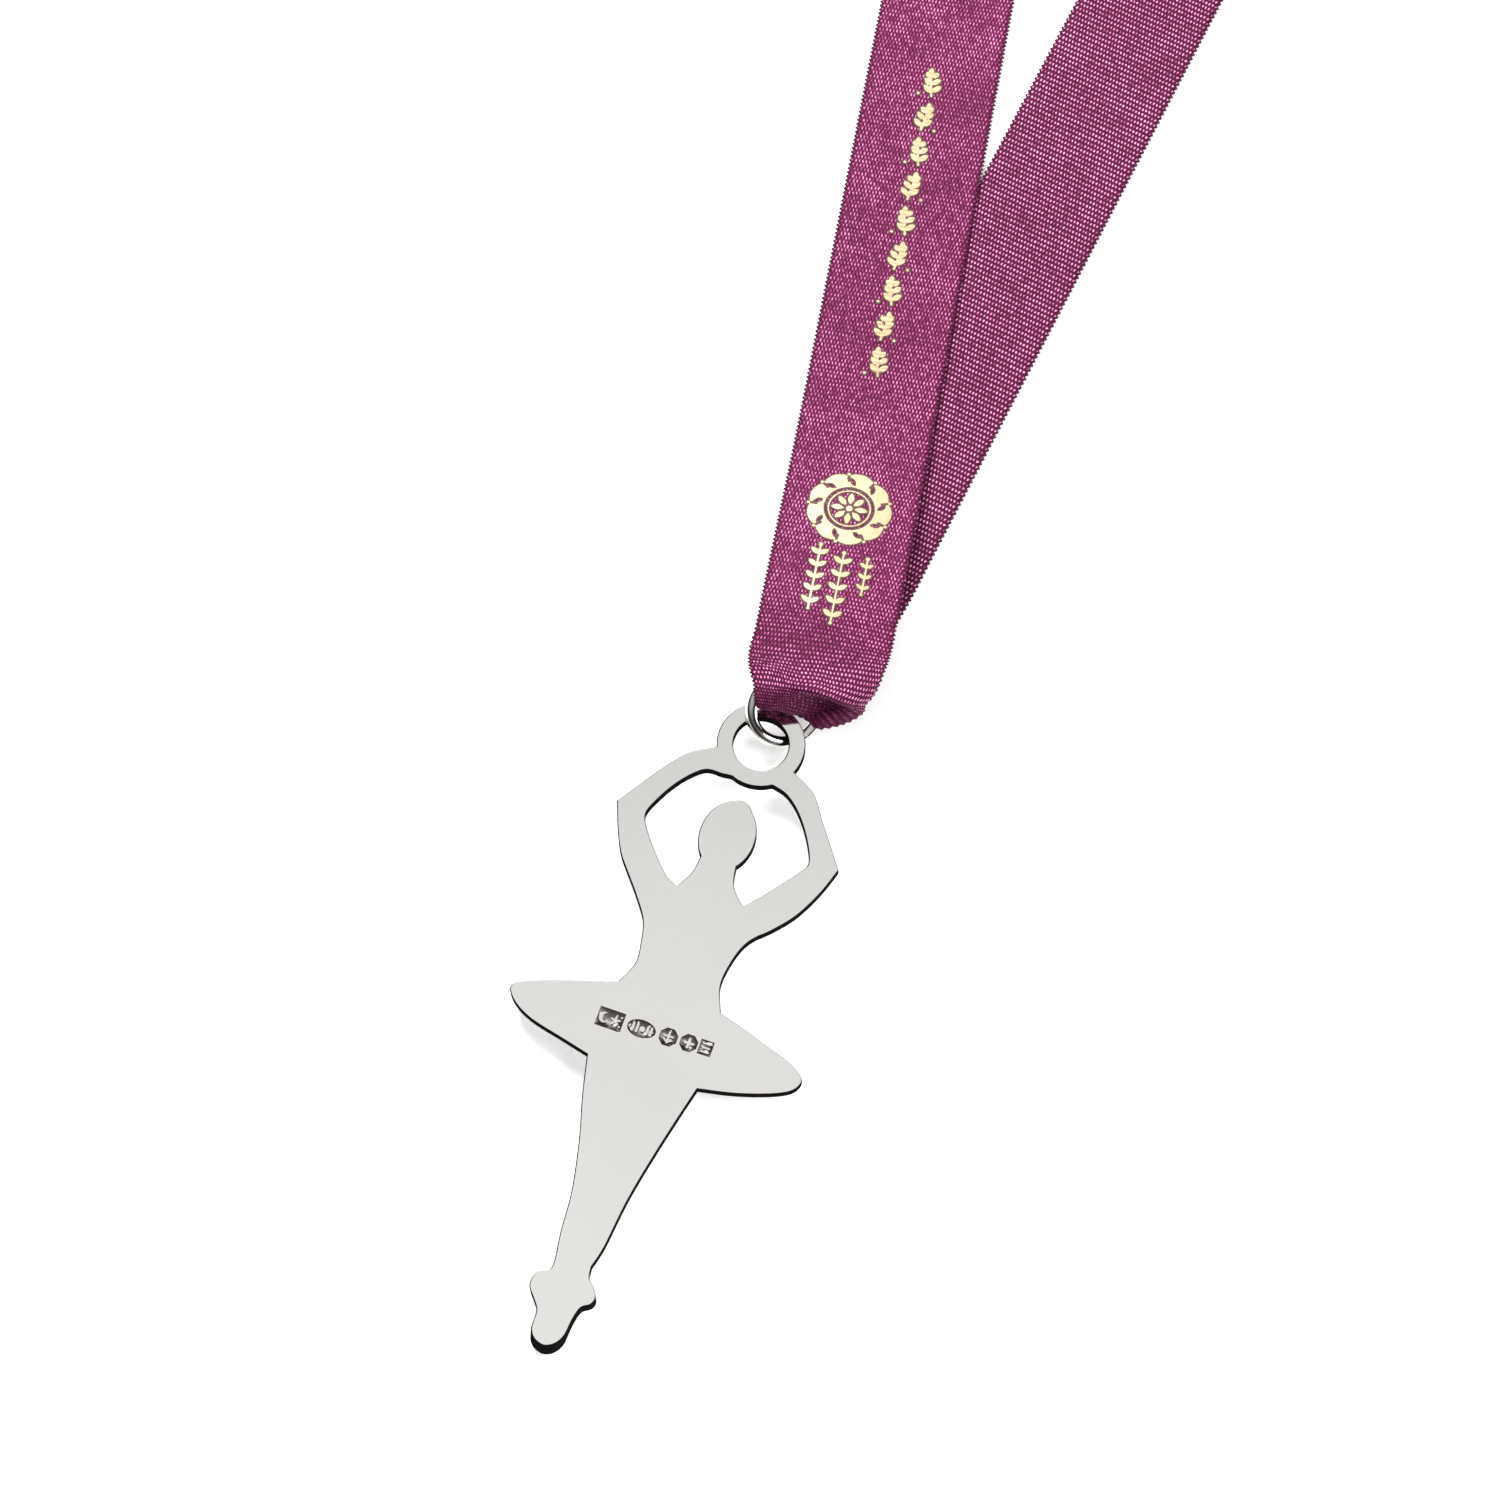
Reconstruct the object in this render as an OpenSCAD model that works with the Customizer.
// Keepsake medal: a flat-backed silver dancer on a jump ring, with its woven neck ribbon.
// The medal lies face down on its relief, back upwards. Y runs from the toe to the ribbon.
// The origin is the middle of the flat of the relief, on the surface that the medal lies on.

/* [Medal] */
// Whole thickness, relief and plate
medal_t = 3.2; // [2.8:0.1:3.6]
// Thickness of the plate behind the relief
plate_t = 1.0; // [0.8:0.1:1.1]
// Distance from the origin to the middle of the hanging hole
lug_y = 36; // [34:0.5:38]
// Diameter of the hanging hole
lug_hole_d = 6.4; // [6.3:0.1:6.6]
// Outer diameter of the lug round the hole
lug_d = 10.3; // [10.0:0.1:10.4]
// Height of the head from crown to chin
head_h = 8.6; // [8:0.1:9]
// Depth of the punched marks on the back
mark_depth = 0.15; // [0.1:0.05:0.3]

/* [Jump ring] */
// Wire diameter
wire_d = 1.5; // [1.3:0.1:1.5]
// Diameter of the circle that the middle of the wire follows
ring_d = 8.2; // [8.1:0.1:8.3]

/* [Ribbon] */
// Width of the ribbon
ribbon_w = 15.8; // [14:0.1:16]
// Thickness of the ribbon
ribbon_t = 0.5; // [0.4:0.05:0.5]
// Lean of the strand with the gold print, to the left of Y
front_lean = 8.8; // [8:0.1:9.5]
// Lean of the other strand, to the right of Y
back_lean = 7.3; // [6.5:0.1:8]
// Length of each fold of the strand with the print
front_fold = 55; // [50:1:56]
// Length of each fold of the other strand
back_fold = 47; // [42:1:48]
// Diameter of the gold emblem
emblem_d = 10.2; // [8:0.1:11]
// Number of gold motifs in the row above the emblem
motifs = 9; // [5:1:9]

/* [Hidden] */

silver = "#dcdad4";
steel = "#c9c9c7";
plum = "#96286e";
dark_plum = "#7d1f5b";
gold = "#e8cf9a";
thread = "#6f1a50";
$fn = 64;

plate_z = medal_t - plate_t;
relief_gap = 1.1;            // plain band kept round the lug, where the jump ring runs

// The outline is drawn from the middle of the hanging hole, in stretches that meet in corners.
right_forearm = [[4.6, -1.9], [7.7, -3.6], [9.9, -6.6], [11.9, -9.3], [13.4, -11.4]];
right_side = [
    [13.4, -11.4], [12.3, -14.7], [10.6, -18.1], [8.5, -20.7], [6.8, -22.4], [5.8, -24.3],
    [5.2, -27.2], [5.3, -29.2], [6.3, -31.7]
];
right_skirt = [
    [6.3, -31.7], [9.3, -32.5], [12.4, -33.5], [15.4, -34.5], [17.3, -35.7], [17.4, -36.8],
    [16.4, -37.9], [14.0, -39.0], [10.5, -40.1], [6.7, -40.9]
];
right_leg = [[6.7, -40.9], [5.6, -45.6], [4.5, -50.7], [3.6, -55.7], [3.0, -61.2], [2.4, -63.8]];
right_shoe = [
    [2.4, -63.8], [2.6, -65.1], [3.4, -65.9], [4.0, -67.0], [3.7, -67.9], [2.8, -68.6],
    [2.4, -70.2], [2.2, -72.0], [1.6, -73.3], [0.4, -74.0]
];
left_shoe = [
    [0.4, -74.0], [-0.9, -73.6], [-1.6, -72.7], [-1.7, -71.4], [-1.8, -70.3], [-2.6, -69.2],
    [-3.4, -68.2], [-3.5, -67.1], [-3.0, -66.1], [-2.0, -65.7]
];
left_leg = [
    [-2.0, -65.7], [-1.8, -64.6], [-2.3, -61.0], [-2.7, -56.5], [-3.9, -50.8], [-5.3, -45.9],
    [-6.4, -41.2]
];
left_skirt = [
    [-6.4, -41.2], [-9.8, -40.4], [-13.6, -39.5], [-15.9, -38.4], [-17.1, -37.2], [-17.2, -36.3],
    [-16.0, -35.4], [-12.6, -34.1], [-9.2, -33.0], [-6.0, -32.0]
];
left_side = [
    [-6.0, -32.0], [-4.9, -29.4], [-5.1, -27.0], [-5.8, -24.3], [-7.6, -21.7], [-9.5, -19.4],
    [-10.9, -17.6], [-12.2, -15.0], [-13.4, -11.9]
];
left_forearm = [[-13.4, -11.9], [-11.6, -9.1], [-9.6, -6.1], [-7.5, -3.6], [-4.7, -1.9]];

// The opening between the arms, drawn before the head and neck are put back into it.
opening_left = [
    [-3.5, -19.2], [-5.0, -18.4], [-6.4, -17.0], [-7.8, -15.4], [-9.1, -13.7], [-9.7, -12.2],
    [-9.0, -10.2], [-7.8, -8.0], [-6.4, -6.2], [-4.9, -5.0], [-3.1, -4.9]
];
opening_right = [
    [2.9, -4.3], [4.7, -4.8], [6.6, -6.3], [8.5, -8.8], [9.8, -11.6], [9.2, -13.0],
    [7.8, -14.9], [6.2, -17.0], [4.5, -19.0]
];
neck_right = [[4.5, -19.0], [3.6, -18.2], [2.8, -17.2], [2.4, -16.0], [2.2, -14.6]];
neck_left = [[-2.1, -14.6], [-2.2, -16.0], [-2.5, -17.3], [-3.5, -19.2]];
head_at = [0, -11.7];
bun_at = [0.3, -8.7];

// Catmull-Rom curve through the points of one stretch, without its last point
spans = 3;
function spline_at(a, b, c, d, u) =
    0.5 * ((2 * b) + (c - a) * u + (2 * a - 5 * b + 4 * c - d) * u * u
    + (3 * b - a - 3 * c + d) * u * u * u);
function smooth(p) = [
    for (i = [0 : len(p) - 2], k = [0 : spans - 1])
        spline_at(p[max(i - 1, 0)], p[i], p[i + 1], p[min(i + 2, len(p) - 1)], k / spans)
];
function oval(rx, ry, n = 40) = [for (i = [0 : n - 1]) [rx * cos(360 * i / n), ry * sin(360 * i / n)]];

outline = concat(
    smooth(right_forearm), smooth(right_side), smooth(right_skirt), smooth(right_leg),
    smooth(right_shoe), smooth(left_shoe), smooth(left_leg), smooth(left_skirt),
    smooth(left_side), smooth(left_forearm), [[-4.7, -1.9]]
);
opening = concat(
    smooth(opening_left), [[-3.1, -4.9]], smooth(opening_right), smooth(neck_right), [[2.2, -14.6]],
    smooth(neck_left)
);

// The jump ring leans: its upper left is over the lug and its lower right is under it.
ring_at = [1.36, 4.74, 3.95];
ring_rise_left = 0.58;       // height gained per millimetre to the left
ring_rise_up = 0.69;         // height gained per millimetre towards the ribbon
ring_tilt = atan(norm([ring_rise_left, ring_rise_up]));
ring_turn = atan2(ring_rise_up, -ring_rise_left);

// The ribbon turns back through the ring round this line, which the ring swings on.
loop_at = [1.65, 8.2, 5.75];
loop_w = 3.8;
loop_inner = 2.5;
loop_outer = 3.2;

// Places of the two strands, each a point on its middle line, in the same frame as the outline
front_at = [2.3, 17.5];
back_at = [2.4, 24.2];
front_slope = -tan(front_lean);
back_slope = tan(back_lean);
function front_x(y) = front_at[0] + front_slope * (y - front_at[1]);
function back_x(y) = back_at[0] + back_slope * (y - back_at[1]);

// Each row is y along the object, height of the middle of the ribbon.
front_heights = [
    [17.5, 7.0], [24, 5.2], [37, 2.4], [44, 1.6], [92, 0.75], [98, 0.4], [102.5, 0.35]
];
back_heights = [[18, 0.95], [24, 0.45], [30, 0.35], [111, 0.35]];
// Each row is x, y, height, width, lean.
front_route = concat(
    [[loop_at[0], loop_at[1], loop_at[2] + (loop_inner + loop_outer) / 2, loop_w, 0],
     [2.9, 13, 8.2, 13, front_lean / 2]],
    [for (h = front_heights) [front_x(h[0]), h[0], h[1], ribbon_w, front_lean]]
);
back_route = concat(
    [[loop_at[0], loop_at[1], loop_at[2] - (loop_inner + loop_outer) / 2, loop_w, 0],
     [2.0, 13, 2.0, 12, -back_lean / 2]],
    [for (h = back_heights) [back_x(h[0]), h[0], h[1], ribbon_w, -back_lean]]
);

// The rest of the ribbon is folded flat, five runs on each side, joined round the nape.
front_folds_y = 104;
back_folds_y = 113;
folds_z = 0.5;
folds_h = 3.9;
neck_y = 175.5;
neck_h = 1.1;
ramp_gap = 0.4;
band_w = 4;
band_t = 0.35;
band_gap = 0.1;
stitch_d = 0.35;
stitches = 5;
seam_l = 12;
foil_t = 0.1;
emblem_y = 30.5;
row_start_y = 50;
row_end_y = 88;

module at_lug() translate([0, lug_y, 0]) children();

module figure_2d() {
    difference() {
        union() {
            difference() {
                polygon(outline);
                polygon(opening);
            }
            circle(d = lug_d);
            translate(head_at) polygon(oval(head_h * 0.38, head_h / 2));
            translate(bun_at) circle(r = head_h * 0.18);
        }
        circle(d = lug_hole_d);
    }
}

// One step of the relief, cut in from the outline and kept off the lug
module relief_step(z0, z1, inset) {
    translate([0, 0, z0])
    linear_extrude(z1 - z0)
    difference() {
        offset(delta = -inset) figure_2d();
        circle(r = lug_d / 2 + relief_gap);
    }
}

module shoe_block() {
    intersection() {
        linear_extrude(plate_z + 0.1) offset(delta = -0.12) figure_2d();
        translate([-5, -76, 0]) cube([10, 10.2, medal_t]);
    }
}

// Punched marks: an upright, an oval, two octagons and a square, in one row across the skirt
module marks_2d() {
    translate([-5.3, -36.5]) square([3.0, 2.2], center = true);
    translate([-1.6, -36.4]) polygon(oval(1.65, 1.0));
    translate([1.6, -36.3]) rotate(22.5) circle(r = 1.1, $fn = 8);
    translate([4.0, -36.2]) rotate(22.5) circle(r = 1.05, $fn = 8);
    translate([6.0, -36.1]) square([1.5, 1.7], center = true);
}

module medal() {
    color(silver)
    at_lug()
    difference() {
        union() {
            translate([0, 0, plate_z]) linear_extrude(plate_t) figure_2d();
            relief_step(plate_z / 2, plate_z + 0.1, 0.5);
            relief_step(0, plate_z / 2 + 0.1, 1.2);
            shoe_block();
        }
        translate([0, 0, medal_t - mark_depth]) linear_extrude(1) marks_2d();
    }
}

module jump_ring() {
    color(steel)
    at_lug()
    translate(ring_at)
    rotate([0, 0, ring_turn])
    rotate([0, -ring_tilt, 0])
    rotate_extrude($fn = 96)
    translate([ring_d / 2, 0])
    circle(d = wire_d, $fn = 32);
}

// Flat strip of ribbon along a route, as one closed solid
module strip(route, thick = ribbon_t, raise = 0, narrow = 0) {
    function corner(p, side, level) = [
        p[0] + side * (p[3] - narrow) / 2 * cos(p[4]),
        p[1] + side * (p[3] - narrow) / 2 * sin(p[4]),
        p[2] + raise + level * thick / 2
    ];
    n = len(route);
    points = [
        for (p = route, c = [[-1, -1], [1, -1], [1, 1], [-1, 1]]) corner(p, c[0], c[1])
    ];
    sides = [
        for (i = [0 : n - 2], k = [0 : 3])
            [4 * i + k, 4 * i + (k + 1) % 4, 4 * i + 4 + (k + 1) % 4, 4 * i + 4 + k]
    ];
    last = [for (k = [0 : 3]) 4 * n - 4 + k];
    polyhedron(points = points, faces = concat([[3, 2, 1, 0]], sides, [last]));
}

module ribbon_ring_loop() {
    color(dark_plum)
    at_lug()
    translate(loop_at)
    rotate([0, 90, 0])
    translate([0, 0, -loop_w / 2])
    difference() {
        cylinder(r = loop_outer, h = loop_w);
        translate([0, 0, -1]) cylinder(r = loop_inner, h = loop_w + 2);
        translate([-5, 0, -1]) cube([10, 5, loop_w + 2]);
    }
}

module ribbon_front_strand() {
    color(plum) at_lug() strip(front_route);
}

module ribbon_back_strand() {
    color(dark_plum) at_lug() strip(back_route);
}

// A stack of folded runs: a block with round ends, lying along its strand
module folds(length) {
    r = folds_h / 2;
    translate([-ribbon_w / 2, r, folds_z]) cube([ribbon_w, length - folds_h, folds_h]);
    for (y = [r, length - r])
        translate([-ribbon_w / 2, y, folds_z + r])
        rotate([0, 90, 0])
        cylinder(r = r, h = ribbon_w);
}

module ribbon_front_folds() {
    color(plum)
    at_lug()
    translate([front_x(front_folds_y), front_folds_y, 0])
    rotate([0, 0, front_lean])
    folds(front_fold);
}

module ribbon_back_folds() {
    color(dark_plum)
    at_lug()
    translate([back_x(back_folds_y), back_folds_y, 0])
    rotate([0, 0, -back_lean])
    folds(back_fold);
}

// The run round the nape, with the two short falls from the tops of the folds down to it
module ribbon_neck_run() {
    front_end = front_folds_y + front_fold * cos(front_lean) + ramp_gap;
    back_end = back_folds_y + back_fold * cos(back_lean) + ramp_gap;
    low = neck_h - ribbon_t / 2;
    color(plum)
    at_lug() {
        translate([front_x(neck_y) - ribbon_w / 2, neck_y - ribbon_w / 2, 0])
        cube([back_x(neck_y) - front_x(neck_y) + ribbon_w, ribbon_w, neck_h]);
        strip([
            [front_x(front_end), front_end, folds_h * 0.7, ribbon_w, front_lean],
            [front_x(neck_y - 6), neck_y - 6, low, ribbon_w, 0]
        ]);
        strip([
            [back_x(back_end), back_end, folds_h * 0.7, ribbon_w, -back_lean],
            [back_x(neck_y - 6), neck_y - 6, low, ribbon_w, 0]
        ]);
    }
}

// Two rows of stitches that close the ribbon's lapped ends at the nape
module neck_seam_stitches() {
    pitch = (ribbon_w - 3) / (stitches - 1);
    color(thread)
    at_lug()
    for (x = [-seam_l / 2, seam_l / 2], k = [0 : stitches - 1])
        translate([x, neck_y - ribbon_w / 2 + 1.5 + k * pitch - 0.9, neck_h + stitch_d / 2])
        rotate([-90, 0, 0])
        cylinder(d = stitch_d, h = 1.8, $fn = 16);
}

// Flat elastic band round one stack
module band(length) {
    inner_w = ribbon_w + 2 * band_gap;
    inner_h = folds_h + 2 * band_gap;
    translate([0, length / 2 - band_w / 2, 0])
    difference() {
        translate([-inner_w / 2 - band_t, 0, 0]) cube([inner_w + 2 * band_t, band_w, inner_h + 2 * band_t]);
        translate([-inner_w / 2, -1, band_t]) cube([inner_w, band_w + 2, inner_h]);
    }
}

module storage_bands() {
    color(thread)
    at_lug() {
        translate([front_x(front_folds_y), front_folds_y, 0]) rotate([0, 0, front_lean]) band(front_fold);
        translate([back_x(back_folds_y), back_folds_y, 0]) rotate([0, 0, -back_lean]) band(back_fold);
    }
}

// Puts a flat piece on the top face of the front strand between two of its heights
module on_front(y, low, high) {
    a = front_heights[low];
    b = front_heights[high];
    rise = (b[1] - a[1]) / (b[0] - a[0]);
    z = a[1] + rise * (y - a[0]) + ribbon_t / 2;
    translate([front_x(y), y, z])
    rotate([0, 0, front_lean])
    rotate([atan(rise * cos(front_lean)), 0, 0])
    translate([0, 0, 0.03])
    children();
}

module gold_emblem() {
    color(gold) at_lug() on_front(emblem_y, 1, 2) cylinder(d = emblem_d, h = foil_t);
}

module gold_motif_row() {
    color(gold)
    at_lug()
    for (k = [0 : motifs - 1])
        on_front(row_start_y + k * (row_end_y - row_start_y) / (motifs - 1), 3, 4)
        linear_extrude(foil_t)
        polygon(oval(1.5, 1.9, 24));
}

medal();
jump_ring();
ribbon_ring_loop();
ribbon_front_strand();
ribbon_back_strand();
ribbon_front_folds();
ribbon_back_folds();
ribbon_neck_run();
neck_seam_stitches();
storage_bands();
gold_emblem();
gold_motif_row();
